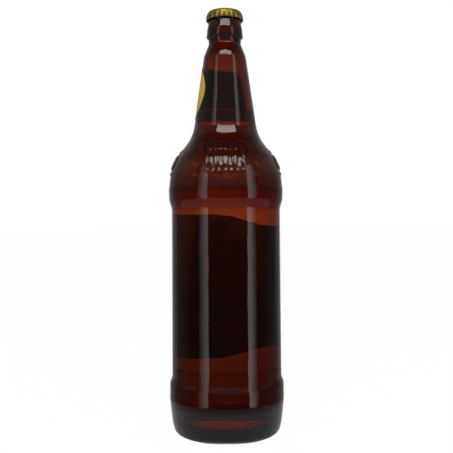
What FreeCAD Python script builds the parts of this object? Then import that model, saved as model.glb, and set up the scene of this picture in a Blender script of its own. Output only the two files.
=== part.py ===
import FreeCAD, Part
import math
import os
import Sketcher

# A sealed one-litre glass bottle with a crown cap, in millimetres.
# Origin: centre of the base, on the surface the bottle stands on. +Z is up.
# The front of the bottle, where both labels are centred, faces -Y.

# Corner points of the glass, as (name, radius, height, rounding). Straight
# runs join the corners and an arc of that rounding softens each one.
OUTSIDE = [
    ("push_up", 0, 5.9, 0),
    ("bearing", 33.3, 0, 3),
    ("heel", 39.7, 0, 4.8),
    ("heel_side", 41.75, 8.5, 12),
    ("low_ring_foot", 43.65, 25.7, 24),
    ("low_ring_top", 43.55, 37.6, 7),
    ("panel_bottom", 41.8, 42.3, 6),
    ("panel_top", 41.45, 169, 6),
    ("high_ring_foot", 43.45, 176, 6),
    ("high_ring_top", 43.7, 183.6, 5),
    ("shoulder", 41.4, 203.4, 38),
    ("neck_root", 24.8, 225.1, 32),
    ("neck_top", 16.1, 285.7, 13.7),
    ("collar", 12.4, 294.8, 3),
    ("band_underside", 12.4, 298.6, 0.6),
    ("band_edge", 14, 300.3, 0.8),
    ("band_middle", 13.45, 306.3, 8),
    ("recess", 12.35, 311.9, 0.8),
    ("ring_underside", 12.35, 313.7, 0.4),
    ("ring_edge", 13.3, 314.7, 0.6),
    ("lip_edge", 13.3, 319.1, 2.4),
    ("lip_centre", 0, 319.1, 0),
]

# The hollow inside the glass, from its floor up to the neck.
INSIDE = [
    ("floor", 0, 10.9, 0),
    ("hollow_heel", 37.7, 5.4, 14),
    ("hollow_low_ring", 39.9, 30, 40),
    ("hollow_panel_bottom", 38.95, 45, 40),
    ("hollow_panel_top", 38.7, 168, 40),
    ("hollow_high_ring", 40, 188, 20),
    ("hollow_shoulder", 38.4, 202, 25),
    ("hollow_neck_root", 21.9, 223.5, 36),
    ("hollow_neck_top", 12.6, 284, 14),
    ("throat", 8, 293, 8),
]

# The crown's outline, as (drawn in from the skirt, above its foot, share of the flutes' depth).
CROWN_LEVELS = [
    (0, 0, 1),
    (0, 1.4, 1),
    (0.12, 3.0, 0.65),
    (0.35, 4.3, 0.25),
    (0.8, 5.6, 0.04),
    (1.45, 6.5, 0),
]

# The other driving dimensions, as (name, value).
SIZES = [
    ("mouth_round", 1.1),
    ("fill_level", 242),
    ("drink_gap", 0.05),
    ("paper", 0.12),
    ("sleeve_spare", 0.5),
    ("cutter_spare", 5),
    ("overrun", 1),
    ("neck_label_bottom", 235.4),
    ("neck_label_tall", 43.3),
    ("neck_label_sweep", 41),
    ("neck_label_end_round", 21.6),
    ("neck_label_end_turn", 73.9),
    ("neck_label_end_offset", 11.6),
    ("body_label_middle", 108.1),
    ("body_label_tall", 114.8),
    ("body_label_wide", 72),
    ("body_label_flat_wide", 41),
    ("body_label_end_tall", 92.4),
    ("body_label_top_round", 21.7),
    ("body_label_end_round", 3),
    ("crown_thick", 0.24),
    ("crown_tall", 6.9),
    ("crown_flutes", 21),
    ("crown_skirt_radius", 13.98),
    ("crown_flute_depth", 0.36),
    ("crown_panel_radius", 11.7),
    ("liner_radius", 12),
    ("liner_top_radius", 10.9),
    ("liner_rim_inner", 8.8),
    ("liner_rim_thick", 0.56),
    ("liner_web_thick", 0.3),
]

POINTS_PER_FLUTE = 6
CLOSE_ENOUGH = 1e-4

doc = FreeCAD.newDocument("bottle")
sheet = doc.addObject("Spreadsheet::Sheet", "Sizes")


def fill_sheet():
    """Writes every driving dimension to the sheet, one aliased row each."""
    rows = []
    for name, radius, height, rounding in OUTSIDE + INSIDE:
        rows += [(name + "_radius", radius), (name + "_height", height), (name + "_round", rounding)]
    rows += SIZES
    for row, (name, number) in enumerate(rows, start=1):
        sheet.set("A%d" % row, name.replace("_", " "))
        sheet.set("B%d" % row, str(number))
        sheet.setAlias("B%d" % row, name)
    doc.recompute()


def size(name):
    """The number that the sheet holds under this name."""
    return float(sheet.get(name))


def bind(thing, **expressions):
    """Binds properties of an object to expressions that read the sheet."""
    for path, expression in expressions.items():
        thing.setExpression(path, expression)


def named(name, inset=""):
    """A corner as three expressions, its radius less the inset."""
    radius = "Sizes.%s_radius" % name
    if inset and size(name + "_radius") > 0:
        radius += " - Sizes." + inset
    return (radius, "Sizes.%s_height" % name, "Sizes.%s_round" % name)


def worked_out(expression):
    """The number an expression gives with the sheet as it stands."""
    return float(sheet.evalExpression(expression.replace("Sizes.", "")))


# ---------------------------------------------------------------- sketches


def tangent_points(before, corner, after, rounding):
    """Where an arc of this rounding leaves the two straight runs, and its centre."""
    back = (before - corner).normalize()
    on = (after - corner).normalize()
    half = back.getAngle(on) / 2
    reach = rounding / math.tan(half)
    middle = (back + on).normalize()
    return corner + back * reach, corner + on * reach, corner + middle * (rounding / math.sin(half))


def place_point(sketch, geometry, spot, across, up):
    """Holds a point of the sketch at two distances from its origin."""
    for axis, kind, expression in ((-2, "DistanceX", across), (-1, "DistanceY", up)):
        distance = worked_out(expression)
        if distance == 0:
            sketch.addConstraint(Sketcher.Constraint("PointOnObject", geometry, spot, axis))
            continue
        number = sketch.addConstraint(Sketcher.Constraint(kind, -1, 1, geometry, spot, distance))
        sketch.setExpression("Constraints[%d]" % number, expression)


def draw_outline(sketch, corners):
    """Draws a closed outline through corners given as expressions (across, up, rounding)."""
    count = len(corners)
    points = [FreeCAD.Vector(worked_out(a), worked_out(u), 0) for a, u, _ in corners]
    starts = list(points)
    ends = list(points)
    arcs = {}
    for i, (_, _, rounding) in enumerate(corners):
        radius = worked_out(rounding)
        if radius > 0:
            after = points[(i + 1) % count]
            ends[i], starts[i], centre = tangent_points(points[i - 1], points[i], after, radius)
            arcs[i] = (centre, radius)
    lines = []
    for i in range(count):
        lines.append(sketch.addGeometry(Part.LineSegment(starts[i], ends[(i + 1) % count]), False))
    for i, (across, up, rounding) in enumerate(corners):
        arriving, leaving = lines[i - 1], lines[i]
        if i not in arcs:
            sketch.addConstraint(Sketcher.Constraint("Coincident", arriving, 2, leaving, 1))
            place_point(sketch, leaving, 1, across, up)
            continue
        centre, radius = arcs[i]
        first = ends[i] - centre
        last = starts[i] - centre
        leftward = first.cross(last).z > 0
        if not leftward:
            first, last = last, first
        circle = Part.Circle(centre, FreeCAD.Vector(0, 0, 1), radius)
        turn = (math.atan2(first.y, first.x), math.atan2(last.y, last.x))
        arc = sketch.addGeometry(Part.ArcOfCircle(circle, *turn), False)
        meets = (1, 2) if leftward else (2, 1)
        sketch.addConstraint(Sketcher.Constraint("Tangent", arriving, 2, arc, meets[0]))
        sketch.addConstraint(Sketcher.Constraint("Tangent", leaving, 1, arc, meets[1]))
        number = sketch.addConstraint(Sketcher.Constraint("Radius", arc, radius))
        sketch.setExpression("Constraints[%d]" % number, rounding)
        corner = sketch.addGeometry(Part.Point(points[i]), True)
        sketch.addConstraint(Sketcher.Constraint("PointOnObject", corner, 1, arriving))
        sketch.addConstraint(Sketcher.Constraint("PointOnObject", corner, 1, leaving))
        place_point(sketch, corner, 1, across, up)


def sketch_on(body, role, name):
    """A sketch on one of the body's own origin planes."""
    sketch = body.newObject("Sketcher::SketchObject", name)
    plane = [feature for feature in body.Origin.OriginFeatures if feature.Role == role][0]
    sketch.AttachmentSupport = [(plane, "")]
    sketch.MapMode = "FlatFace"
    return sketch


def turned_solid(label, name, corners):
    """A body made by turning an outline once about the bottle's axis."""
    body = doc.addObject("PartDesign::Body", name)
    body.Label = label
    profile = sketch_on(body, "XZ_Plane", name + "Profile")
    draw_outline(profile, corners)
    turned = body.newObject("PartDesign::Revolution", name + "Turned")
    turned.Profile = profile
    turned.ReferenceAxis = (profile, ["V_Axis"])
    turned.Angle = 360
    profile.Visibility = False
    doc.recompute()
    return body


# ---------------------------------------------------------------- sub-parts


def glass_bottle():
    """The bottle: its outside turned solid, the hollow grooved out, the mouth's edge rounded."""
    body = turned_solid("glass_bottle", "Glass", [named(name) for name, *_ in OUTSIDE])
    above = "Sizes.lip_centre_height + Sizes.overrun"
    hollow = sketch_on(body, "XZ_Plane", "GlassHollow")
    corners = [named(name) for name, *_ in INSIDE]
    corners += [("Sizes.throat_radius", above, "0"), ("0", above, "0")]
    draw_outline(hollow, corners)
    before = body.Shape.Volume
    groove = body.newObject("PartDesign::Groove", "GlassGroove")
    groove.Profile = hollow
    groove.ReferenceAxis = (hollow, ["V_Axis"])
    groove.Angle = 360
    hollow.Visibility = False
    doc.recompute()
    print("glass removed by the hollow: %.0f ml" % ((before - body.Shape.Volume) / 1000))
    mouth = body.newObject("PartDesign::Fillet", "MouthRound")
    mouth.Base = (groove, [mouth_edge(groove.Shape)])
    bind(mouth, Radius="Sizes.mouth_round")
    return body


def mouth_edge(shape):
    """The name of the circle where the throat meets the top of the lip."""
    for number, edge in enumerate(shape.Edges, start=1):
        centre_height = edge.BoundBox.Center.z
        round_edge = isinstance(edge.Curve, Part.Circle)
        if round_edge and abs(centre_height - size("lip_centre_height")) < CLOSE_ENOUGH:
            if abs(edge.Curve.Radius - size("throat_radius")) < CLOSE_ENOUGH:
                return "Edge%d" % number
    raise ValueError("the mouth has no round edge")


def drink():
    """The contents: the hollow filled up to the fill level, a hair clear of the glass."""
    names = [name for name, *_ in INSIDE if size(name + "_height") < size("fill_level")]
    corners = [named(name, "drink_gap") for name in names]
    corners[0] = ("0", "Sizes.floor_height + Sizes.drink_gap", "0")
    across, up, rounding = corners[1]
    corners[1] = (across, up + " + Sizes.drink_gap", rounding)
    rise = "(Sizes.fill_level - Sizes.hollow_neck_root_height)"
    run = "(Sizes.hollow_neck_top_height - Sizes.hollow_neck_root_height)"
    narrowing = "(Sizes.hollow_neck_root_radius - Sizes.hollow_neck_top_radius)"
    rim = "Sizes.hollow_neck_root_radius - Sizes.drink_gap - %s * %s / %s" % (narrowing, rise, run)
    corners += [(rim, "Sizes.fill_level", "0"), ("0", "Sizes.fill_level", "0")]
    return turned_solid("drink", "Drink", corners)


def on_side(lower, upper, height):
    """An expression for the glass radius at a height between two of its corners."""
    run = "(Sizes.%s_height - Sizes.%s_height)" % (upper, lower)
    change = "(Sizes.%s_radius - Sizes.%s_radius)" % (upper, lower)
    return "Sizes.%s_radius + %s * (%s - Sizes.%s_height) / %s" % (lower, change, height, lower, run)


def paper_sleeve(name, lower, upper, bottom, top):
    """A sleeve of paper all round the glass, between two heights on one straight run."""
    cones = []
    for which, more in (("Inner", ""), ("Outer", " + Sizes.paper")):
        cone = doc.addObject("Part::Cone", name + which)
        bind(cone, Radius1=on_side(lower, upper, bottom) + more, Radius2=on_side(lower, upper, top) + more)
        bind(cone, Height="%s - (%s)" % (top, bottom))
        cone.setExpression("Placement.Base.z", bottom)
        cones.append(cone)
    sleeve = doc.addObject("Part::Cut", name + "Sleeve")
    sleeve.Base, sleeve.Tool = cones[1], cones[0]
    return sleeve


def neck_label():
    """The neck label, which wraps more than half of the neck and has round ends."""
    bottom = "Sizes.neck_label_bottom"
    top = "(Sizes.neck_label_bottom + Sizes.neck_label_tall)"
    sleeve = paper_sleeve("NeckLabel", "neck_root", "neck_top", bottom, top)
    straight = doc.addObject("Part::Cylinder", "NeckLabelStraight")
    bind(straight, Radius="Sizes.neck_root_radius", Height="Sizes.neck_label_tall")
    bind(straight, Angle="2 * Sizes.neck_label_sweep")
    straight.setExpression("Placement.Base.z", bottom)
    straight.setExpression("Placement.Rotation.Yaw", "-90 - Sizes.neck_label_sweep")
    parts = [straight]
    middle = FreeCAD.Vector(0, 0, size("neck_label_bottom") + size("neck_label_tall") / 2)
    for side in (-1, 1):
        end = doc.addObject("Part::Cylinder", "NeckLabelEnd%s" % ("Left" if side < 0 else "Right"))
        bind(end, Radius="Sizes.neck_label_end_round", Height="Sizes.neck_root_radius + Sizes.cutter_spare")
        facing = math.radians(-90 + side * size("neck_label_end_turn"))
        outward = FreeCAD.Vector(math.cos(facing), math.sin(facing), 0)
        sideways = FreeCAD.Vector(math.sin(facing), -math.cos(facing), 0) * side
        offset = sideways * size("neck_label_end_offset")
        upright = FreeCAD.Rotation(FreeCAD.Vector(0, 0, 1), outward)
        end.Placement = FreeCAD.Placement(middle + offset, upright)
        parts.append(end)
    outline = doc.addObject("Part::MultiFuse", "NeckLabelOutline")
    outline.Shapes = parts
    label = doc.addObject("Part::Common", "NeckLabel")
    label.Label = "neck_label"
    label.Base, label.Tool = sleeve, outline
    label.Refine = True
    return label


def body_label():
    """The body label: a panel whose top and bottom edges bend toward its ends."""
    bottom = "(Sizes.body_label_middle - Sizes.body_label_tall / 2 - Sizes.sleeve_spare)"
    top = "(Sizes.body_label_middle + Sizes.body_label_tall / 2 + Sizes.sleeve_spare)"
    sleeve = paper_sleeve("BodyLabel", "panel_bottom", "panel_top", bottom, top)
    outline = doc.addObject("Sketcher::SketchObject", "BodyLabelOutline")
    outline.Placement = FreeCAD.Placement(FreeCAD.Vector(0, 0, 0), FreeCAD.Rotation(0, 0, 90))
    half_wide, half_flat = "Sizes.body_label_wide / 2", "Sizes.body_label_flat_wide / 2"
    middle, half_end = "Sizes.body_label_middle", " Sizes.body_label_end_tall / 2"
    low, high = middle + " - Sizes.body_label_tall / 2", middle + " + Sizes.body_label_tall / 2"
    bent, end = "Sizes.body_label_top_round", "Sizes.body_label_end_round"
    corners = [
        ("-" + half_flat, low, bent),
        (half_flat, low, bent),
        (half_wide, middle + " -" + half_end, end),
        (half_wide, middle + " +" + half_end, end),
        (half_flat, high, bent),
        ("-" + half_flat, high, bent),
        ("-" + half_wide, middle + " +" + half_end, end),
        ("-" + half_wide, middle + " -" + half_end, end),
    ]
    draw_outline(outline, corners)
    block = doc.addObject("Part::Extrusion", "BodyLabelBlock")
    block.Base = outline
    block.DirMode = "Custom"
    block.Dir = FreeCAD.Vector(0, -1, 0)
    block.setExpression("LengthFwd", "Sizes.panel_bottom_radius + Sizes.cutter_spare")
    block.Solid = True
    label = doc.addObject("Part::Common", "BodyLabel")
    label.Label = "body_label"
    label.Base, label.Tool = sleeve, block
    label.Refine = True
    return label


def fluted_ring(radius, height, depth):
    """A closed wavy line round the axis, with one wave for each flute."""
    flutes = int(size("crown_flutes"))
    steps = POINTS_PER_FLUTE * flutes
    points = []
    for step in range(steps):
        turn = 2 * math.pi * step / steps
        reach = radius + depth * math.cos(flutes * turn)
        points.append(FreeCAD.Vector(reach * math.cos(turn), reach * math.sin(turn), height))
    curve = Part.BSplineCurve()
    curve.interpolate(Points=points, PeriodicFlag=True)
    return Part.Wire(curve.toShape())


def crown_plug(inset, lengthening):
    """The crown as a solid block, drawn in by the inset and made longer at its foot."""
    top = size("lip_centre_height") + size("liner_rim_thick") + size("crown_thick")
    foot = top - size("crown_tall")
    skirt = size("crown_skirt_radius") - inset
    depth = size("crown_flute_depth")
    rings = []
    if lengthening > 0:
        rings.append(fluted_ring(skirt, foot - lengthening, depth))
    for drawn_in, above, share in CROWN_LEVELS:
        lowered = inset * above / size("crown_tall")
        rings.append(fluted_ring(skirt - drawn_in, foot + above - lowered, depth * share))
    rings.append(fluted_ring(size("crown_panel_radius") - inset, top - inset, 0))
    return Part.makeLoft(rings, True, False)


def crown_shell():
    """The pressed cap of thin tinplate, with its skirt of flutes."""
    shell = doc.addObject("Part::Feature", "CrownShell")
    shell.Label = "crown_shell"
    shell.Shape = crown_plug(0, 0).cut(crown_plug(size("crown_thick"), size("overrun")))
    shell.Placement = FreeCAD.Placement()
    return shell


def crown_liner():
    """The sealing disc: a thin web with a thicker rim that presses on the lip."""
    under = "Sizes.lip_centre_height"
    over = "Sizes.lip_centre_height + Sizes.liner_rim_thick"
    web = "Sizes.lip_centre_height + Sizes.liner_rim_thick - Sizes.liner_web_thick"
    corners = [
        ("0", web, "0"),
        ("Sizes.liner_rim_inner", web, "0"),
        ("Sizes.liner_rim_inner", under, "0"),
        ("Sizes.liner_radius", under, "0"),
        ("Sizes.liner_top_radius", over, "0"),
        ("0", over, "0"),
    ]
    return turned_solid("crown_liner", "Liner", corners)


def check(sub_parts):
    """Stops if any object failed, or a sub-part's shape isn't one sound solid."""
    for thing in doc.Objects:
        if "Invalid" in thing.State or "Error" in thing.State:
            raise RuntimeError("%s failed: %s" % (thing.Name, thing.State))
    for part in sub_parts:
        shape = part.Shape
        if shape.isNull() or not shape.isValid() or len(shape.Solids) != 1:
            raise RuntimeError("%s isn't one sound solid" % part.Label)
        box = shape.BoundBox
        print("%-13s %8.2f ml  z %.2f to %.2f" % (part.Label, shape.Volume / 1000, box.ZMin, box.ZMax))


def main():
    fill_sheet()
    sub_parts = [glass_bottle(), drink(), neck_label(), body_label(), crown_shell(), crown_liner()]
    doc.recompute()
    check(sub_parts)
    os.makedirs("parts", exist_ok=True)
    for part in sub_parts:
        part.Shape.exportStep("parts/%s.step" % part.Label)


main()
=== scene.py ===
# %% [markdown]
# # A sealed one-litre bottle of amber glass
#
# This lesson builds the looks of a glass bottle round a fixed engineering model. The model gives the
# real sizes and says which pieces move: here the crown cap lifts off the mouth. Every mesh below is
# made in metres, in the place where its piece really sits, so nothing has to be moved afterwards.
# Glass is the hardest material to fake, so most of the work is real thickness: an outer wall, an
# inner wall and the drink between them. The amber colour then comes from the glass by itself.

# %% Load the frame
import math

import bmesh
import bpy
import numpy as np
from mathutils import Matrix, Vector


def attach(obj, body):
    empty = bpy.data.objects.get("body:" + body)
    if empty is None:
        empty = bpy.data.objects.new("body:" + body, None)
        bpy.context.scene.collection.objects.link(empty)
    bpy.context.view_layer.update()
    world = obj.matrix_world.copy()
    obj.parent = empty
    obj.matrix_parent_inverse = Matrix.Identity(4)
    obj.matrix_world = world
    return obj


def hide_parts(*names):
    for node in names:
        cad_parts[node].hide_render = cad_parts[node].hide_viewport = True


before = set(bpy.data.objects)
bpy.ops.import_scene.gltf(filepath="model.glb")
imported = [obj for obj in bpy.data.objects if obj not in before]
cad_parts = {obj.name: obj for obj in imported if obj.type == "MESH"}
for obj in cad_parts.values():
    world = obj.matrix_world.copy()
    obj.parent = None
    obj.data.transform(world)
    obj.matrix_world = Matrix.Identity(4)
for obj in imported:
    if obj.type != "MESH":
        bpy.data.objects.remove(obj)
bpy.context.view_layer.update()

MM = 0.001
TURN = 2 * math.pi

# %% [markdown]
# ## Outlines with round corners
#
# A bottle is a turned shape, so it is fully described by one outline in (radius, height). Each corner
# below also has a rounding, in millimetres, just as on the drawing that a mould maker would get.
# Blender's own screw modifier could turn such an outline, but it gives every ring the same number of
# points, and this bottle needs many more of them where its shoulder is ornamented. So the outline is
# sampled here in Python: arcs at the corners, and short steps wherever a finer surface is asked for.

# %% Corners of the glass, in millimetres
OUTSIDE = [
    (0, 5.9, 0), (33.3, 0, 3), (39.7, 0, 4.8), (41.75, 8.5, 12), (43.65, 25.7, 24), (43.55, 37.6, 7),
    (41.8, 42.3, 6), (41.45, 169, 6), (43.45, 176, 6), (43.7, 183.6, 5), (41.4, 203.4, 38),
    (24.8, 225.1, 32), (16.1, 285.7, 13.7), (12.4, 294.8, 3), (12.4, 298.6, 0.6), (14, 300.3, 0.8),
    (13.45, 306.3, 8), (12.35, 311.9, 0.8), (12.35, 313.7, 0.4), (13.3, 314.7, 0.6), (13.3, 319.1, 2.4),
]
MOUTH = [(8, 319.1, 1.1)]
BORE_END = [(8, 313, 0)]
INSIDE = [
    (0, 10.9, 0), (37.7, 5.4, 14), (39.9, 30, 40), (38.95, 45, 40), (38.7, 168, 40), (40, 188, 20),
    (38.4, 202, 25), (21.9, 223.5, 36), (12.6, 284, 14), (8, 293, 8),
]


ARC_TURN = math.radians(5)
NO_TURN = 1e-4
SAME_POINT = 1e-6


def arc_at(before, corner, after, rounding, step):
    """Points of the arc that rounds one corner of an outline, all in (radius, height)."""
    back = (before - corner).normalized()
    on = (after - corner).normalized()
    half = back.angle(on) / 2
    if rounding == 0 or half > math.pi / 2 - NO_TURN:
        return [corner]
    centre = corner + (back + on).normalized() * (rounding / math.sin(half))
    first = corner + back * (rounding / math.tan(half)) - centre
    last = corner + on * (rounding / math.tan(half)) - centre
    sweep = first.angle_signed(last)
    count = max(2, math.ceil(abs(sweep) / ARC_TURN), math.ceil(abs(sweep) * rounding / step))
    points = []
    for i in range(count + 1):
        turn = -sweep * i / count
        points.append(centre + Matrix.Rotation(turn, 2) @ first)
    return points


def steady(step):
    """A step between points that is the same at every height."""
    return lambda height: step


def sample(corners, step_at):
    """An outline as points, no further apart than step_at says for each height."""
    spots = [Vector((r, z)) for r, z, _ in corners]
    line = [spots[0]]
    for i in range(1, len(spots) - 1):
        line += arc_at(spots[i - 1], spots[i], spots[i + 1], corners[i][2], step_at(spots[i].y))
    line.append(spots[-1])
    fine = [line[0]]
    for start, end in zip(line, line[1:]):
        length = (end - start).length
        if length < SAME_POINT:
            continue
        count = max(1, math.ceil(length / step_at((start.y + end.y) / 2)))
        fine += [start.lerp(end, k / count) for k in range(1, count + 1)]
    return fine


# %% [markdown]
# ## From outline to mesh
#
# Each point of an outline becomes a ring of vertices. Rings may have different counts as long as one
# is three times the other: the faces between them then fan out in threes, which keeps plain parts
# light and ornamented parts fine. Every ring is given as two arrays, one of radii and one of heights,
# so a ring can be wavy as well as round.

# %% Rings to faces
def ring_faces(low, low_count, high, high_count):
    """Faces between two rings of vertices, given by their first number and their count."""
    if low_count > high_count:
        return [face[::-1] for face in ring_faces(high, high_count, low, low_count)]
    faces = []
    for i in range(low_count):
        a = low + i
        b = low + (i + 1) % low_count
        if low_count == high_count:
            faces.append((a, b, high + (i + 1) % high_count, high + i))
            continue
        fan = [high + (3 * i + k) % high_count for k in range(4)]
        faces += [(a, fan[1], fan[0]), (a, b, fan[2], fan[1]), (b, fan[3], fan[2])]
    return faces


def turned_mesh(name, rings, turns):
    """A closed mesh from rings of (radii, heights) in millimetres, with a pole at each end.

    turns gives the angle of each vertex for a ring of that many vertices.
    """
    points = [(0, 0, rings[0][1][0] * MM)]
    faces = []
    previous = None
    for radii, heights in rings[1:-1]:
        count = len(radii)
        start = len(points)
        angles = turns(count)
        points += list(zip(radii * np.cos(angles) * MM, radii * np.sin(angles) * MM, heights * MM))
        if previous is None:
            faces += [(0, start + (i + 1) % count, start + i) for i in range(count)]
        else:
            faces += ring_faces(*previous, start, count)
        previous = (start, count)
    start, count = previous
    points.append((0, 0, rings[-1][1][0] * MM))
    faces += [(start + i, start + (i + 1) % count, len(points) - 1) for i in range(count)]
    return finished_mesh(name, points, faces)


def finished_mesh(name, points, faces):
    """An object from points and faces, with its faces turned outward and shaded smooth."""
    mesh = bpy.data.meshes.new(name)
    mesh.from_pydata([tuple(map(float, point)) for point in points], [], faces)
    work = bmesh.new()
    work.from_mesh(mesh)
    bmesh.ops.recalc_face_normals(work, faces=work.faces)
    work.to_mesh(mesh)
    work.free()
    mesh.shade_smooth()
    thing = bpy.data.objects.new(name, mesh)
    bpy.context.scene.collection.objects.link(thing)
    triangles = sum(len(face) - 2 for face in faces)
    print("%-14s %6d points %7d triangles" % (name, len(points), triangles))
    return thing


def even_turns(count):
    """Angles of the vertices of a ring."""
    return np.arange(count) * TURN / count


# %% [markdown]
# ## Moulded ornament and the knurled foot
#
# Bottle glass takes every mark of its iron mould. Here the shoulder carries four groups of leaves
# between two rows of beads, and the ring that the bottle stands on is knurled, so that hot bottles
# do not stick to the conveyor. A bump map would shine well enough, but it could not roughen the
# silhouette, and through clear glass the light has to bend at a real slope. So the ornament moves
# the vertices: each function gives a height in millimetres for every angle of one ring.

# %% Ornament as heights
PLAIN_COUNT = 192
FINE_COUNT = 576
GROUP_MIDDLES = [math.radians(61 + 90 * k) for k in range(4)]
ORNAMENT_LOW, ORNAMENT_HIGH = 194, 214.5
SHOULDER_RADIUS = 41.0
LEAF_PITCH, LEAVES = 6.6, 5
LEAF_MIDDLE, LEAF_HALF_TALL, LEAF_HALF_WIDE = 11.0, 7.0, 2.7
BEAD_PITCH, BEADS, BEAD_RADIUS, BEAD_RELIEF = 4.4, 7, 1.15, 0.45
BEAD_ROWS = (1.9, 20.1)
RELIEF = 0.62
VEIN_DEPTH, VEIN_HALF_WIDE = 0.45, 0.55
RIBS, RIB_DEPTH = 144, 1.0
KNURL_INNER, KNURL_OUTER, KNURL_TALL = 32.2, 41, 3.5
FINE_FOOT_INNER, FINE_FOOT_OUTER = 31, 41.5


def smooth(share):
    """Eases a share between 0 and 1."""
    share = np.clip(share, 0, 1)
    return share * share * (3 - 2 * share)


def repeated(across, pitch, count):
    """Distance from the nearest of a row of marks, far away outside the row."""
    nearest = (across + pitch / 2) % pitch - pitch / 2 if count % 2 else across % pitch - pitch / 2
    return np.where(np.abs(across) < pitch * count / 2, nearest, 99)


def ornament(angles, along):
    """Height of the ornament on one ring, which lies this far up the shoulder."""
    relief = np.zeros(len(angles))
    for middle in GROUP_MIDDLES:
        across = ((angles - middle + math.pi) % TURN - math.pi) * SHOULDER_RADIUS
        up = (along - LEAF_MIDDLE) / LEAF_HALF_TALL
        if abs(up) < 1:
            beside = np.abs(repeated(across, LEAF_PITCH, LEAVES))
            inside = LEAF_HALF_WIDE * (1 - up * up) - beside
            vein = VEIN_DEPTH * (1 - smooth(beside / VEIN_HALF_WIDE)) * smooth(inside / 0.6)
            relief = np.maximum(relief, RELIEF * (smooth(inside / 0.8) - vein))
        for row in BEAD_ROWS:
            beside = repeated(across, BEAD_PITCH, BEADS)
            reach = (beside ** 2 + (along - row) ** 2) / BEAD_RADIUS ** 2
            relief = np.maximum(relief, BEAD_RELIEF * np.sqrt(np.clip(1 - reach, 0, 1)))
    return relief


def knurl(angles, radius, height):
    """How far the ribs under the foot stand back from the ground, on one ring."""
    share = smooth((radius - KNURL_INNER) / 1.5) * smooth((KNURL_OUTER - radius) / 1.5)
    share *= smooth((KNURL_TALL - height) / 2)
    return RIB_DEPTH * share * (0.5 - 0.5 * np.cos(RIBS * angles))


def unevenness(angles, height):
    """Slow waves of the inner wall, which no mould touches when the glass is blown."""
    waves = 0.09 * np.sin(2 * angles + height / 23) + 0.07 * np.sin(3 * angles - height / 31 + 1)
    waves += 0.05 * np.sin(5 * angles + height / 11) + 0.04 * np.sin(height / 7 + 2 * angles)
    return waves * smooth((height - 12) / 20) * smooth((288 - height) / 20)


# %% [markdown]
# ## The glass bottle
#
# The real bottle is a single gather of glass, blown into a mould: the outside is exact and the inside
# is only roughly parallel to it. Both walls are one closed mesh here, which matters: the renderer
# works out how much amber glass a ray has crossed from where it enters and where it leaves. The
# outline therefore runs up the outside, over the lip, and down the inside to the floor.

# %% Build the glass
ORNAMENT_STEP, FOOT_STEP, HEEL_STEP, WALL_STEP = 0.6, 1.0, 2, 4
FOOT_HIGH, HEEL_HIGH = 2.5, 45


def outside_step(height):
    """How close together the rings of the outer wall lie, in millimetres."""
    if ORNAMENT_LOW < height < ORNAMENT_HIGH:
        return ORNAMENT_STEP
    if height < FOOT_HIGH:
        return FOOT_STEP
    return HEEL_STEP if height < HEEL_HIGH else WALL_STEP


def outer_rings(outline):
    """Rings of the outer wall, with the ornament raised along the surface's own slope."""
    rings = []
    along = 0
    for i, spot in enumerate(outline):
        ahead = outline[min(i + 1, len(outline) - 1)] - outline[max(i - 1, 0)]
        outward = Vector((ahead.y, -ahead.x)).normalized()
        if i and spot.y > ORNAMENT_LOW:
            along += (spot - outline[i - 1]).length
        ornamented = ORNAMENT_LOW < spot.y < ORNAMENT_HIGH
        knurled = spot.y < KNURL_TALL and FINE_FOOT_INNER < spot.x < FINE_FOOT_OUTER
        angles = even_turns(FINE_COUNT if ornamented or knurled else PLAIN_COUNT)
        radii = np.full(len(angles), spot.x)
        heights = np.full(len(angles), spot.y)
        if ornamented:
            relief = ornament(angles, along)
            radii += relief * outward.x
            heights += relief * outward.y
        if knurled:
            ribs = knurl(angles, spot.x, spot.y)
            radii -= ribs * max(outward.x, 0)
            heights += ribs * max(-outward.y, 0)
        rings.append((radii, heights))
    return rings


def inner_rings(outline, outward):
    """Rings of the inner wall, or of the drink that wets it, pushed outward by a distance."""
    rings = []
    for spot in outline:
        waves = unevenness(even_turns(PLAIN_COUNT), spot.y)
        near_axis = min(1, spot.x / 20)
        rings.append((spot.x + (waves + outward) * near_axis, np.full(PLAIN_COUNT, spot.y)))
    return rings


outer = sample(OUTSIDE + MOUTH + BORE_END, outside_step)
inner = sample(INSIDE + BORE_END, steady(WALL_STEP))[::-1]
glass = turned_mesh("glass", outer_rings(outer) + inner_rings(inner, 0)[1:], even_turns)
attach(glass, "bottle")
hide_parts("glass_bottle")

# %% [markdown]
# ## The drink
#
# The bottle is full to a line in the neck. Where liquid wets glass there is no air between them, and
# a mesh that ends exactly on the wall would flicker or leave a silvery film of air. The usual way
# round that is to let the drink reach a hair into the glass: a ray then meets glass, drink and inner
# wall in an order that bends it just as the real pair would. The edge of its surface creeps up the
# wall a little, which is the meniscus.

# %% Build the drink
FILL_LEVEL = 242
WETTING = 0.08
MENISCUS, MENISCUS_REACH = 1.3, 1.1


def drink_outline():
    """The drink's outline: up the wall to the meniscus, then inward along the surface."""
    wall = [spot for spot in sample(INSIDE, steady(WALL_STEP)) if spot.y < FILL_LEVEL]
    root, top = [Vector(corner[:2]) for corner in INSIDE[-3:-1]]
    slope = (top.x - root.x) / (top.y - root.y)
    rim = root.x + slope * (FILL_LEVEL + MENISCUS - root.y)
    wall.append(Vector((rim, FILL_LEVEL + MENISCUS)))
    surface = []
    for inward in (0.15, 0.4, 0.8, 1.3, 2, 3, 4.5, 7, 11, 15, rim):
        height = FILL_LEVEL + MENISCUS * math.exp(-inward / MENISCUS_REACH)
        surface.append(Vector((rim - inward, height)))
    return wall + surface


drink_line = drink_outline()
drink_line[0].y -= WETTING
drink = turned_mesh("drink_volume", inner_rings(drink_line, WETTING), even_turns)
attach(drink, "bottle")
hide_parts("drink")

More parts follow.
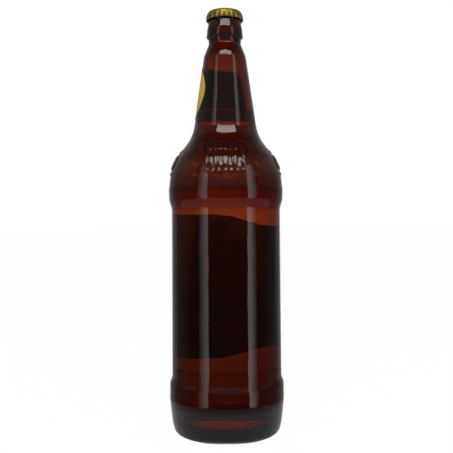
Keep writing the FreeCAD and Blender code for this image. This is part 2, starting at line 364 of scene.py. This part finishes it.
# %% [markdown]
# ## The crown cap
#
# A crown is a disc of thin tinplate that a press folds into twenty-one flutes. The flutes are a wave
# whose depth fades from the skirt to the flat panel. Their foot is wavy too, because the metal that
# is pushed in between two ridges is also pulled up. The same rings that turned the glass can do it,
# since a ring may have any radius at any angle; only the wave is new. Each level below says how far
# it is drawn in from the skirt, how far it lies above the foot, and how much of the wave it keeps.

# %% Build the crown shell
FLUTES = 21
SKIRT_RADIUS, FLUTE_DEPTH, CROWN_FOOT, CROWN_TOP = 13.98, 0.36, 313.0, 319.9
TINPLATE = 0.24
FOOT_LIFT, FOOT_LIFT_FADE = 0.3, 2.4
CROWN_LEVELS = [
    (0, 0, 1), (0, 1.4, 1), (0.12, 3.0, 0.65), (0.35, 4.3, 0.25), (0.8, 5.6, 0.04), (1.45, 6.5, 0),
]
CROWN_PANEL = [
    (2.28, 6.9, 0), (4.2, 6.9, 0), (5.0, 6.76, 0), (5.8, 6.9, 0), (8, 6.9, 0), (11, 6.9, 0),
    (SKIRT_RADIUS, 6.9, 0),
]
CROWN_COUNT = FLUTES * 16


def between(before, start, end, after, share):
    """A point on a smooth curve from start to end, given the points on either side."""
    first = 2 * start
    second = (end - before) * share
    third = (2 * before - 5 * start + 4 * end - after) * share ** 2
    fourth = (3 * start - before - 3 * end + after) * share ** 3
    return (first + second + third + fourth) / 2


def crown_ring(drawn_in, above, wave, inset):
    """One ring of the crown's skin, or of its inner side if there is an inset."""
    angles = even_turns(CROWN_COUNT)
    ridge = np.cos(FLUTES * angles)
    radii = SKIRT_RADIUS - drawn_in + FLUTE_DEPTH * wave * ridge - inset
    heights = CROWN_FOOT + above - inset * above / (CROWN_TOP - CROWN_FOOT)
    lift = FOOT_LIFT * (1 - ridge) * wave * max(0, 1 - above / FOOT_LIFT_FADE)
    return np.maximum(radii, 0.001), heights + lift


def crown_skin(inset):
    """Rings from the foot of the skirt to the middle of the panel."""
    levels = [np.array(level, float) for level in CROWN_LEVELS + CROWN_PANEL]
    rings = []
    for i in range(len(levels) - 1):
        around = [levels[max(i - 1, 0)], levels[i], levels[i + 1], levels[min(i + 2, len(levels) - 1)]]
        for share in np.arange(4) / 4:
            rings.append(crown_ring(*between(*around, share), inset))
    rings.append((np.zeros(1), np.full(1, CROWN_TOP - inset)))
    return rings


skin = crown_skin(0)[::-1]
lining = crown_skin(TINPLATE)
crown = turned_mesh("crown", skin + lining, even_turns)
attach(crown, "cap")
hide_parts("crown_shell")

# %% [markdown]
# ## The liner
#
# Inside the crown lies a disc of soft plastic that seals against the lip. It is moulded in place, so
# it has a thick rim with two fine grooves, where it presses on the glass, and a thin web.

# %% Build the liner
LINER = [
    (0, 319.36, 0), (8.4, 319.36, 0.1), (8.8, 319.12, 0.1), (9.4, 319.12, 0.1), (9.7, 319.22, 0.1),
    (10.1, 319.12, 0.1), (10.5, 319.12, 0.1), (10.8, 319.22, 0.1), (11.1, 319.12, 0.1),
    (11.9, 319.12, 0.1), (11.95, 319.2, 0.05), (10.9, 319.65, 0.1), (0, 319.65, 0),
]
LINER_STEP, LINER_COUNT = 1.5, 96

rings = []
for spot in sample(LINER, steady(LINER_STEP)):
    rings.append((np.full(LINER_COUNT, spot.x), np.full(LINER_COUNT, spot.y)))
liner = turned_mesh("liner", rings, even_turns)
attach(liner, "cap")
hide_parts("crown_liner")

# %% [markdown]
# ## Paper labels
#
# Both labels are thin sheets of paper, glued round a straight stretch of the glass. Each one is a
# grid: rows run up the bottle, and every row ends where the label's cut edge is at that height. Two
# such grids, a paper's thickness apart and joined at the rim, make the sheet. The grid also carries a
# flat "print" map in metres, so that artwork is drawn on flat paper and then bends with the label.

# %% Build a label
PAPER = 0.12
GLUE, BULGE, COCKLE = 0.02, 0.03, 0.03
LABEL_COLUMNS = 72


def glass_radius(lower, upper, height):
    """The outer radius of the glass at a height on the straight run between two corners."""
    share = (height - lower[1]) / (upper[1] - lower[1])
    return lower[0] + (upper[0] - lower[0]) * share


def label_sheet(name, run, rows):
    """A sheet of paper on the glass, from rows of (height, half its sweep), facing the front."""
    points = []
    prints = []
    for lifted in (0, 1):
        for height, half_sweep in rows:
            radius = glass_radius(*run, height) + GLUE + lifted * PAPER
            for column in range(LABEL_COLUMNS + 1):
                sweep = half_sweep * (2 * column / LABEL_COLUMNS - 1)
                cockle = COCKLE * math.sin(9 * sweep + height / 5) * math.sin(height / 9 - 4 * sweep)
                reach = radius + lifted * (BULGE + cockle)
                points.append((reach * math.sin(sweep) * MM, -reach * math.cos(sweep) * MM, height * MM))
                prints.append((sweep * radius * MM, height * MM))
    across = LABEL_COLUMNS + 1
    sheet = across * len(rows)
    faces = []
    for lifted in (0, 1):
        for row in range(len(rows) - 1):
            for column in range(LABEL_COLUMNS):
                a = lifted * sheet + row * across + column
                face = (a, a + 1, a + across + 1, a + across)
                faces.append(face if lifted else face[::-1])
    rim = list(range(across)) + [row * across + across - 1 for row in range(1, len(rows))]
    rim += [sheet - 1 - column for column in range(1, across)]
    rim += [row * across for row in range(len(rows) - 2, 0, -1)]
    for start, end in zip(rim, rim[1:] + rim[:1]):
        faces.append((start, end, end + sheet, start + sheet))
    label = finished_mesh(name, points, faces)
    layer = label.data.uv_layers.new(name="print")
    for loop in label.data.loops:
        layer.data[loop.index].uv = prints[loop.vertex_index]
    label.data.set_sharp_from_angle(angle=math.radians(50))
    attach(label, "bottle")
    return label


def eased_rows(low, high, count):
    """Heights from low to high, closer together near both ends."""
    middle = (low + high) / 2
    return [middle - (high - low) / 2 * math.cos(math.pi * i / count) for i in range(count + 1)]


# %% [markdown]
# ### The neck label
#
# It wraps a little more than half of the neck, and both of its ends are cut round.

# %% Shape of the neck label
NECK_RUN = ((24.8, 225.1), (16.1, 285.7))
NECK_LABEL_LOW, NECK_LABEL_HIGH = 235.4, 278.7
NECK_END_ROUND, NECK_END_OFFSET, NECK_END_TURN = 21.6, 11.6, math.radians(73.9)
NECK_MIDDLE = (NECK_LABEL_LOW + NECK_LABEL_HIGH) / 2


def neck_end(height):
    """Half the sweep of the neck label at a height, where its round end crosses the glass."""
    off = abs(height - NECK_MIDDLE)
    reach = NECK_END_OFFSET - math.sqrt(max(0, NECK_END_ROUND ** 2 - off ** 2))
    return NECK_END_TURN - math.asin(reach / glass_radius(*NECK_RUN, height))


rows = [(height, neck_end(height)) for height in eased_rows(NECK_LABEL_LOW, NECK_LABEL_HIGH, 48)]
neck_paper = label_sheet("neck_paper", NECK_RUN, rows)
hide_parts("neck_label")

# %% [markdown]
# ### The body label
#
# It is a tall panel whose top and bottom edges bend toward its ends, and it lies in the recess between
# the two raised rings, where crates and other bottles cannot rub it. A quarter of its flat outline,
# with round corners like the glass, gives every row; the rest is the same mirrored.

# %% Shape of the body label
BODY_RUN = ((41.8, 42.3), (41.45, 169))
BODY_MIDDLE, BODY_HALF_TALL, BODY_HALF_WIDE = 108.1, 57.4, 36
BODY_HALF_FLAT, BODY_HALF_END, BODY_TOP_ROUND, BODY_END_ROUND = 20.5, 46.2, 21.7, 3
BODY_QUARTER = [
    (0, BODY_HALF_TALL, 0), (BODY_HALF_FLAT, BODY_HALF_TALL, BODY_TOP_ROUND),
    (BODY_HALF_WIDE, BODY_HALF_END, BODY_END_ROUND), (BODY_HALF_WIDE, 0, 0),
]
BODY_STEP = 1.5

quarter = sample(BODY_QUARTER, steady(BODY_STEP))
while quarter[1].y == BODY_HALF_TALL:
    quarter.pop(0)
edges = [(BODY_MIDDLE - spot.y, spot.x) for spot in quarter]
edges += [(BODY_MIDDLE + spot.y, spot.x) for spot in quarter[-2::-1]]
rows = [(height, math.asin(wide / glass_radius(*BODY_RUN, height))) for height, wide in edges]
body_paper = label_sheet("body_paper", BODY_RUN, rows)
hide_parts("body_label")

# %% [markdown]
# ## Writing shader maths in Python
#
# A material is a graph of nodes, and sums in it are slow to wire by hand. The class below wraps one
# socket and gives it Python's own operators, so `1 - mask` or `noise * 0.2 + 0.4` builds the nodes for
# it. Plain numbers stay plain: only what varies over the surface becomes a node.

# %% A socket with operators
class Wire:
    """One output socket, which can be added to, multiplied, mixed and plugged in."""

    def __init__(self, tree, socket):
        self.tree = tree
        self.socket = socket

    def node(self, kind, inputs=None, output=0, **settings):
        """Adds a node: settings first, then socket values or wires, and returns an output."""
        made = self.tree.nodes.new(kind)
        for name, value in settings.items():
            setattr(made, name, value)
        for name, value in (inputs or {}).items():
            self.plug(made.inputs[name], value)
        return Wire(self.tree, made.outputs[output])

    def plug(self, socket, value):
        """Gives a socket a wire, or else a plain value."""
        if isinstance(value, Wire):
            self.tree.links.new(value.socket, socket)
        else:
            socket.default_value = value

    def maths(self, operation, *values):
        """A Math node, or a Vector Math node where the first value is a vector."""
        vector = isinstance(values[0], Wire) and values[0].socket.type == "VECTOR"
        made = self.tree.nodes.new("ShaderNodeVectorMath" if vector else "ShaderNodeMath")
        made.operation = operation
        for socket, value in zip(made.inputs, values):
            self.plug(socket, value)
        return Wire(self.tree, made.outputs[0])

    def __add__(self, other):
        return self.maths("ADD", self, other)

    def __radd__(self, other):
        return self.maths("ADD", other, self)

    def __sub__(self, other):
        return self.maths("SUBTRACT", self, other)

    def __rsub__(self, other):
        return self.maths("SUBTRACT", other, self)

    def __mul__(self, other):
        return self.maths("MULTIPLY", self, other)

    def __rmul__(self, other):
        return self.maths("MULTIPLY", other, self)

    def __truediv__(self, other):
        return self.maths("DIVIDE", self, other)

    def absolute(self):
        """The value without its sign."""
        return self.maths("ABSOLUTE", self)

    def root(self):
        """The square root of the value."""
        return self.maths("SQRT", self)

    def sine(self):
        """The sine of an angle."""
        return self.maths("SINE", self)

    def cosine(self):
        """The cosine of an angle."""
        return self.maths("COSINE", self)

    def dot(self, other):
        """How far one vector reaches along another."""
        made = self.maths("DOT_PRODUCT", self, other).socket.node
        return Wire(self.tree, made.outputs["Value"])

    def most(self, other):
        """The larger of two values."""
        return self.maths("MAXIMUM", self, other)

    def least(self, other):
        """The smaller of two values."""
        return self.maths("MINIMUM", self, other)

    def step(self, start, end):
        """Goes from 0 at start to 1 at end, eased."""
        inputs = {"Value": self, "From Min": start, "From Max": end}
        return self.node("ShaderNodeMapRange", inputs, interpolation_type="SMOOTHSTEP")

    def mix(self, low, high):
        """A colour between low and high, by this mask."""
        made = self.tree.nodes.new("ShaderNodeMix")
        made.data_type = "RGBA"
        self.plug(made.inputs["Factor"], self)
        for name, colour in (("A", low), ("B", high)):
            socket = [s for s in made.inputs if s.name == name and s.type == "RGBA"][0]
            self.plug(socket, colour if isinstance(colour, Wire) else (*colour, 1))
        return Wire(self.tree, [s for s in made.outputs if s.type == "RGBA"][0])

    def noise(self, scale, detail=2, roughness=0.5):
        """Noise of this many features to the metre, with this wire as its coordinates."""
        inputs = {"Vector": self, "Scale": scale, "Detail": detail, "Roughness": roughness}
        return self.node("ShaderNodeTexNoise", inputs)

    def axes(self):
        """The three parts of a vector."""
        made = self.tree.nodes.new("ShaderNodeSeparateXYZ")
        self.tree.links.new(self.socket, made.inputs[0])
        return [Wire(self.tree, socket) for socket in made.outputs]


def new_material(name, plain):
    """A material with these plain values on its Principled node: the node, and object coordinates."""
    material = bpy.data.materials.new(name)
    material.use_nodes = True
    shader = material.node_tree.nodes["Principled BSDF"]
    for socket, value in plain.items():
        shader.inputs[socket].default_value = value
    made = material.node_tree.nodes.new("ShaderNodeTexCoord")
    return material, shader, Wire(material.node_tree, made.outputs["Object"])


def bump(shader, height, distance):
    """Feeds the shader's normal from a height between 0 and 1, this many metres tall."""
    inputs = {"Height": height, "Strength": 1.0, "Distance": distance}
    height.plug(shader.inputs["Normal"], height.node("ShaderNodeBump", inputs))


# %% [markdown]
# ## Amber glass
#
# Clear glass with volume absorption is the real thing: the iron and sulphur in the melt swallow blue
# almost at once and red only slowly, so thick glass looks nearly black and thin glass orange. The
# surface itself is colourless. Its only detail is the two fine seams and the very slight orange-peel
# that a mould leaves, and dull scuffs on the two raised rings, where bottles rub on one another.

# %% Glass material
def absorb(material, colour, density):
    """Fills a closed mesh with a medium that swallows light."""
    tree = material.node_tree
    medium = tree.nodes.new("ShaderNodeVolumeAbsorption")
    medium.inputs["Color"].default_value = (*colour, 1)
    medium.inputs["Density"].default_value = density
    tree.links.new(medium.outputs[0], tree.nodes["Material Output"].inputs["Volume"])


AMBER, AMBER_DENSITY = (0.725, 0.43, 0.20), 1130
SCUFF_ROUGHNESS, GLASS_RELIEF = 0.22, 0.0002

amber, shader, place = new_material("amber_glass", {
    "Base Color": (1, 1, 1, 1), "Transmission Weight": 1.0, "IOR": 1.52, "Roughness": 0.0,
})
absorb(amber, AMBER, AMBER_DENSITY)
_, y, z = place.axes()
seam = 1 - y.absolute().step(0.0001, 0.0004)
peel = place.noise(90, 1)
upper_ring = z.step(0.172, 0.178) * (1 - z.step(0.186, 0.191))
lower_ring = z.step(0.022, 0.027) * (1 - z.step(0.036, 0.041))
scuffs = (upper_ring + lower_ring) * place.noise(1400, 4, 0.7).step(0.60, 0.72)
place.plug(shader.inputs["Roughness"], scuffs * SCUFF_ROUGHNESS)
bump(shader, peel * 0.7 + seam * 0.3 + scuffs * 0.15, GLASS_RELIEF)
glass.data.materials.append(amber)

# %% [markdown]
# ## Drink
#
# Seen by itself the drink is pale amber; it only deepens what the glass has already coloured.

# %% Drink material
beer, shader, place = new_material("amber_drink", {
    "Base Color": (1, 1, 1, 1), "Transmission Weight": 1.0, "IOR": 1.34, "Roughness": 0.0,
})
absorb(beer, (0.85, 0.55, 0.22), 6)
bump(shader, place.noise(60, 1), 0.00005)
drink.data.materials.append(beer)

# %% [markdown]
# ## Gold lacquer
#
# The crown is lacquered tinplate. Its gold lacquer is mostly metallic, with a dull mottle and small
# dark flecks, and painted shade darkens the hollows between the flutes. The inner side is a pale grey.

# %% Crown material
DULL_GOLD, BRIGHT_GOLD = (0.22, 0.15, 0.012), (0.44, 0.32, 0.03)
# The second colour on the next line is painted shade for the hollows between the flutes.
FLECK, FLUTE_SHADE, INNER_LACQUER = (0.10, 0.07, 0.015), (0.035, 0.025, 0.008), (0.62, 0.62, 0.60)
LACQUER_RELIEF = 0.00004

lacquer, shader, place = new_material("gold_lacquer", {
    "Metallic": 0.75, "Coat Weight": 0.06, "Coat Roughness": 0.2, "IOR": 1.5,
})
x, y, z = place.axes()
mottle = place.noise(900, 3, 0.6).step(0.35, 0.65)
flecks = place.noise(3200, 2).step(0.58, 0.66)
colour = mottle.mix(DULL_GOLD, BRIGHT_GOLD)
colour = (flecks * 0.6).mix(colour, FLECK)
spread = (x * x + y * y).root()
# Painted shade: the hollows between the flutes, low on the skirt, are darkened as if in shadow.
flute_shade_mask = (1 - spread.step(0.01370, 0.01425)) * (1 - z.step(0.3155, 0.3175))
colour = (flute_shade_mask * 0.45).mix(colour, FLUTE_SHADE)
facing = place.node("ShaderNodeNewGeometry", output="Normal").axes()[2]
colour = (facing * -1).step(0.5, 0.9).mix(colour, INNER_LACQUER)
place.plug(shader.inputs["Base Color"], colour)
place.plug(shader.inputs["Roughness"], mottle * 0.15 + 0.32)
bump(shader, mottle * 0.6 + flecks * 0.4, LACQUER_RELIEF)
crown.data.materials.append(lacquer)

# %% [markdown]
# ## Sealing compound
#
# A pale plastic with a faintly pebbled skin.

# %% Liner material
compound, shader, place = new_material("sealing_compound", {"IOR": 1.49})
cloud = place.noise(500, 3)
colour = cloud.step(0.3, 0.7).mix((0.70, 0.70, 0.66), (0.80, 0.80, 0.77))
place.plug(shader.inputs["Base Color"], colour)
place.plug(shader.inputs["Roughness"], cloud * 0.2 + 0.4)
bump(shader, place.noise(4000, 2), 0.00003)
liner.data.materials.append(compound)

# %% [markdown]
# ## Printed paper
#
# The artwork is drawn with distances on the flat print map: a golden field, a dark border that
# follows the cut edge, and a roundel with a star in it and a sunburst round it. There is no
# lettering. The back of the paper, seen through the glass, is painted near-black as painted shade.

# %% Label artwork
GOLD, DEEP_GOLD = (0.66, 0.48, 0.018), (0.50, 0.29, 0.02)
# The last colour on the next line is painted shade for the back of the paper.
BROWN, CREAM, SHADED_BACK = (0.035, 0.012, 0.006), (0.75, 0.66, 0.45), (0.05, 0.035, 0.025)
INK_EDGE, PAPER_RELIEF = 0.0002, 0.00003
SUN_RAYS, STAR_POINTS = 24, 8


def ring_mark(distance, radius, width):
    """A thin circle, from the distance to its middle."""
    return 1 - (distance - radius).absolute().step(width / 2, width / 2 + INK_EDGE)


def roundel_art(colour, across, up, radius):
    """Draws a sunburst, and a roundel of this radius with a star in it, over a colour."""
    distance = (across * across + up * up).root()
    angle = up.maths("ARCTAN2", up, across)
    rays = (angle * SUN_RAYS).sine().step(-0.1, 0.1)
    rays = rays * distance.step(radius, radius * 1.02)
    rays = rays * (1 - distance.step(radius * 1.55, radius * 1.6))
    disc = 1 - distance.step(radius * 0.92, radius * 0.92 + INK_EDGE)
    star = (angle * STAR_POINTS).cosine() * radius * 0.14 + radius * 0.52
    bloom = 1 - (distance - star).step(0, 0.0003)
    colour = rays.mix(colour, DEEP_GOLD)
    colour = disc.mix(colour, BROWN)
    colour = ring_mark(distance, radius * 0.84, 0.0006).mix(colour, CREAM)
    colour = bloom.mix(colour, GOLD)
    return ring_mark(distance, radius, 0.0008).mix(colour, BROWN)


def paper_material(name, middle, inset, lined, roundel, paper_object):
    """Printed paper; inset gives the distance inward from the cut edge, lined is 1 for an inner line."""
    plain = {"IOR": 1.45, "Coat Weight": 0.05, "Coat Roughness": 0.25}
    material, shader, place = new_material(name, plain)
    flat = place.node("ShaderNodeUVMap", uv_map="print")
    across, up, _ = flat.axes()
    up = up - middle * MM
    inward = inset(place, across, up)
    border = 1 - inward.step(0.0003, 0.0005)
    line = ring_mark(inward, 0.0030, 0.0004) * lined
    fibre = flat.noise(2600, 4, 0.65)
    colour = flat.noise(60, 2).step(0.3, 0.7).mix(GOLD, tuple(0.9 * part for part in GOLD))
    colour = roundel_art(colour, across, up, roundel)
    colour = border.most(line).mix(colour, BROWN)
    colour = (fibre.step(0.45, 0.75) * 0.06).mix(colour, CREAM)
    outward = place.node("ShaderNodeNewGeometry", output="Normal").dot(place)
    # Painted shade: the inner face of the paper gets a near-black colour, as if in shadow behind the
    # glass.
    colour = outward.step(-0.001, 0.001).mix(SHADED_BACK, colour)
    place.plug(shader.inputs["Base Color"], colour)
    place.plug(shader.inputs["Roughness"], fibre * 0.25 + 0.38)
    bump(shader, fibre, PAPER_RELIEF)
    paper_object.data.materials.append(material)


def neck_inset(place, across, up):
    """How far inside its round ends and straight edges a point of the neck label lies."""
    x, y, _ = place.axes()
    radius = (x * x + y * y).root()
    sweep = x.maths("ARCTAN2", x.absolute(), y * -1)
    beside = (NECK_END_TURN - sweep).sine() * radius
    past = (beside - NECK_END_OFFSET * MM).least(0.0)
    reach = (past * past + up * up).root()
    return reach * -1 + NECK_END_ROUND * MM


BEND = math.atan2(BODY_HALF_TALL - BODY_HALF_END, BODY_HALF_WIDE - BODY_HALF_FLAT)
BEND_ROUND = BODY_TOP_ROUND * MM
BEND_START = BODY_HALF_FLAT * MM - BEND_ROUND * math.tan(BEND / 2)
BEND_RUN = BEND_ROUND * math.sin(BEND)


def body_inset(place, across, up):
    """How far inside its bent top and bottom edges and its ends a point of the body label lies."""
    past = (place.axes()[0].absolute() - BEND_START).most(0.0)
    curved = past.least(BEND_RUN)
    drop = (curved * curved * -1 + BEND_ROUND ** 2).root() * -1 + BEND_ROUND
    drop = drop + (past - BEND_RUN).most(0.0) * math.tan(BEND)
    above = (up.absolute() + drop) * -1 + BODY_HALF_TALL * MM
    radius = BODY_RUN[0][0] * MM
    half_sweep = math.asin(BODY_HALF_WIDE * MM / radius) * radius
    return above.least(across.absolute() * -1 + half_sweep)


NECK_ROUNDEL, BODY_ROUNDEL = 0.0125, 0.024
paper_material("neck_print", NECK_MIDDLE, neck_inset, 0, NECK_ROUNDEL, neck_paper)
paper_material("body_print", BODY_MIDDLE, body_inset, 1, BODY_ROUNDEL, body_paper)

# %% [markdown]
# ## Camera
#
# The camera stands level, at about half the bottle's height and half a metre away, behind the bottle
# and to its left. It leans sideways by about a third of a degree.

# %% Place the camera
VIEW_AZIMUTH = math.radians(61)
VIEW = Vector((math.cos(VIEW_AZIMUTH), math.sin(VIEW_AZIMUTH), 0))
CAMERA_DISTANCE, EYE_HEIGHT, LEAN, ASIDE = 0.5145, 0.1558, 0.00652, 0.00042
SENSOR_WIDTH, FOCAL_LENGTH = 36, 53.25
right = Vector((-VIEW.y, VIEW.x, 0))
up = Vector((0, 0, 1))
leaning_up = up * math.cos(LEAN) + right * math.sin(LEAN)
leaning_right = right * math.cos(LEAN) - up * math.sin(LEAN)
lens = bpy.data.cameras.new("camera")
lens.sensor_width = SENSOR_WIDTH
lens.lens = FOCAL_LENGTH
camera = bpy.data.objects.new("camera", lens)
turned = Matrix((leaning_right, leaning_up, VIEW)).transposed().to_4x4()
eye = VIEW * CAMERA_DISTANCE + up * EYE_HEIGHT + right * ASIDE
camera.matrix_world = Matrix.Translation(eye) @ turned
bpy.context.scene.collection.objects.link(camera)
bpy.context.scene.camera = camera

# %% [markdown]
# ## Studio
#
# Dark glass shows its surroundings, so the lights are what draws the bottle: two tall strips at its
# sides, each brightest at the edge nearer the camera, a wide box above the camera, and a white
# backdrop that shines through the glass. A light path node lets the backdrop be white where it is
# seen, yet dim where it is mirrored, as in a studio with black screens at both sides. Mirrored light
# comes from straight behind the bottle, from a band above the horizon, and from below.

# %% Backdrop
SCATTERED = 0.42
BEHIND_CORE, BEHIND_HALO, BEHIND_SIDES = 0.72, 0.18, 0.05
HIGH_BAND, FROM_BELOW, EVERYWHERE = 0.14, 0.2, 0.035


def studio_world():
    """White where it is seen directly or through glass, and dim where it is mirrored."""
    world = bpy.data.worlds.new("studio")
    world.use_nodes = True
    bpy.context.scene.world = world
    tree = world.node_tree
    start = Wire(tree, tree.nodes.new("ShaderNodeTexCoord").outputs["Generated"])
    path = tree.nodes.new("ShaderNodeLightPath")
    seen = Wire(tree, path.outputs["Is Camera Ray"])
    through = Wire(tree, path.outputs["Is Transmission Ray"])
    scattered = Wire(tree, path.outputs["Is Diffuse Ray"])
    behind = start.dot(tuple(-VIEW))
    height = start.axes()[2]
    mirrored = behind.step(0.86, 1.0) * BEHIND_CORE + behind.step(0.4, 0.9) * BEHIND_HALO
    mirrored = mirrored + behind.step(-0.3, 0.3) * BEHIND_SIDES + EVERYWHERE
    mirrored = mirrored + height.step(0.1, 0.35) * (1 - height.step(0.55, 0.85)) * HIGH_BAND
    mirrored = mirrored + (height * -1).step(0.25, 0.32) * FROM_BELOW
    direct = seen.most(through)
    level = direct + (1 - direct) * (scattered * SCATTERED + (1 - scattered) * mirrored)
    start.plug(tree.nodes["Background"].inputs["Strength"], level)
    tree.nodes["Background"].inputs["Color"].default_value = (1, 1, 1, 1)


studio_world()


# %% [markdown]
# The floor glows where the camera sees it, as white as the backdrop. The bottle mirrors it only close
# to its foot: further out, mirrored rays pass through the floor and meet the backdrop below it.

# %% Floor
FLOOR_HALF_SIDE = 30
FLOOR_SEEN, FLOOR_THROUGH, FLOOR_MIRRORED = 1.02, 0.35, 0.45
MIRRORED_TO, MIRRORED_FADE = 0.08, 0.095


def flat_sheet(name, wide, tall):
    """A flat rectangle in the scene, centred on its own origin and facing up."""
    x, y = wide / 2, tall / 2
    mesh = bpy.data.meshes.new(name)
    mesh.from_pydata([(-x, -y, 0), (x, -y, 0), (x, y, 0), (-x, y, 0)], [], [(0, 1, 2, 3)])
    sheet = bpy.data.objects.new(name, mesh)
    bpy.context.scene.collection.objects.link(sheet)
    return sheet


def studio_floor():
    """A pale table top that runs out of sight."""
    floor = flat_sheet("floor", FLOOR_HALF_SIDE * 2, FLOOR_HALF_SIDE * 2)
    material = bpy.data.materials.new("pale_floor")
    material.use_nodes = True
    tree = material.node_tree
    shader = tree.nodes["Principled BSDF"]
    shader.inputs["Base Color"].default_value = (0.8, 0.8, 0.8, 1)
    shader.inputs["Roughness"].default_value = 0.9
    shader.inputs["Specular IOR Level"].default_value = 0.0
    path = tree.nodes.new("ShaderNodeLightPath")
    seen = Wire(tree, path.outputs["Is Camera Ray"])
    through = Wire(tree, path.outputs["Is Transmission Ray"])
    mirrored = Wire(tree, path.outputs["Is Glossy Ray"]) * (1 - through)
    x, y, _ = Wire(tree, tree.nodes.new("ShaderNodeTexCoord").outputs["Object"]).axes()
    far = (x * x + y * y).step(MIRRORED_TO ** 2, MIRRORED_FADE ** 2)
    level = seen * FLOOR_SEEN + through * FLOOR_THROUGH + mirrored * FLOOR_MIRRORED
    glow = seen.node("ShaderNodeEmission", {"Color": (1, 1, 1, 1), "Strength": level})
    plain = Wire(tree, shader.outputs[0])
    lit = seen.node("ShaderNodeMixShader", {0: seen * 0.95 + through + mirrored, 1: plain, 2: glow})
    clear = seen.node("ShaderNodeBsdfTransparent")
    both = seen.node("ShaderNodeMixShader", {0: mirrored * far, 1: lit, 2: clear})
    tree.links.new(both.socket, tree.nodes["Material Output"].inputs["Surface"])
    floor.data.materials.append(material)


studio_floor()


# %% Lights
def light_panel(name, aim, azimuth, elevation, distance, wide, tall, level, fade=0):
    """A glowing panel that faces a point on the axis; fade dims it toward one side, -1 or 1.

    aim is the height of that point and distance is how far off the panel stands, in metres.
    """
    panel = flat_sheet(name, wide, tall)
    a, e = math.radians(azimuth), math.radians(elevation)
    way = Vector((math.cos(a) * math.cos(e), math.sin(a) * math.cos(e), math.sin(e)))
    middle = Vector((0, 0, aim)) + way * distance
    panel.matrix_world = Matrix.Translation(middle) @ way.to_track_quat("Z", "Y").to_matrix().to_4x4()
    material = bpy.data.materials.new(name)
    material.use_nodes = True
    tree = material.node_tree
    tree.nodes.remove(tree.nodes["Principled BSDF"])
    place = Wire(tree, tree.nodes.new("ShaderNodeTexCoord").outputs["Object"])
    strength = level
    if fade:
        edge = fade * wide / 2
        strength = place.axes()[0].step(edge, -edge) * level
    glow = place.node("ShaderNodeEmission", {"Color": (1, 1, 1, 1), "Strength": strength})
    tree.links.new(glow.socket, tree.nodes["Material Output"].inputs["Surface"])
    panel.data.materials.append(material)
    panel.visible_camera = False


strip = {"aim": 0.375, "elevation": 0, "distance": 1.2, "tall": 1.35}
light_panel("left_strip", azimuth=11.75, wide=0.543, level=1.3, fade=-1, **strip)
light_panel("right_strip", azimuth=117, wide=0.51, level=1.7, fade=1, **strip)
light_panel("top_box", azimuth=64, aim=0.25, elevation=47.3, distance=1.29, wide=1.3, tall=0.49, level=4.8)
bpy.context.scene.view_settings.view_transform = "Standard"
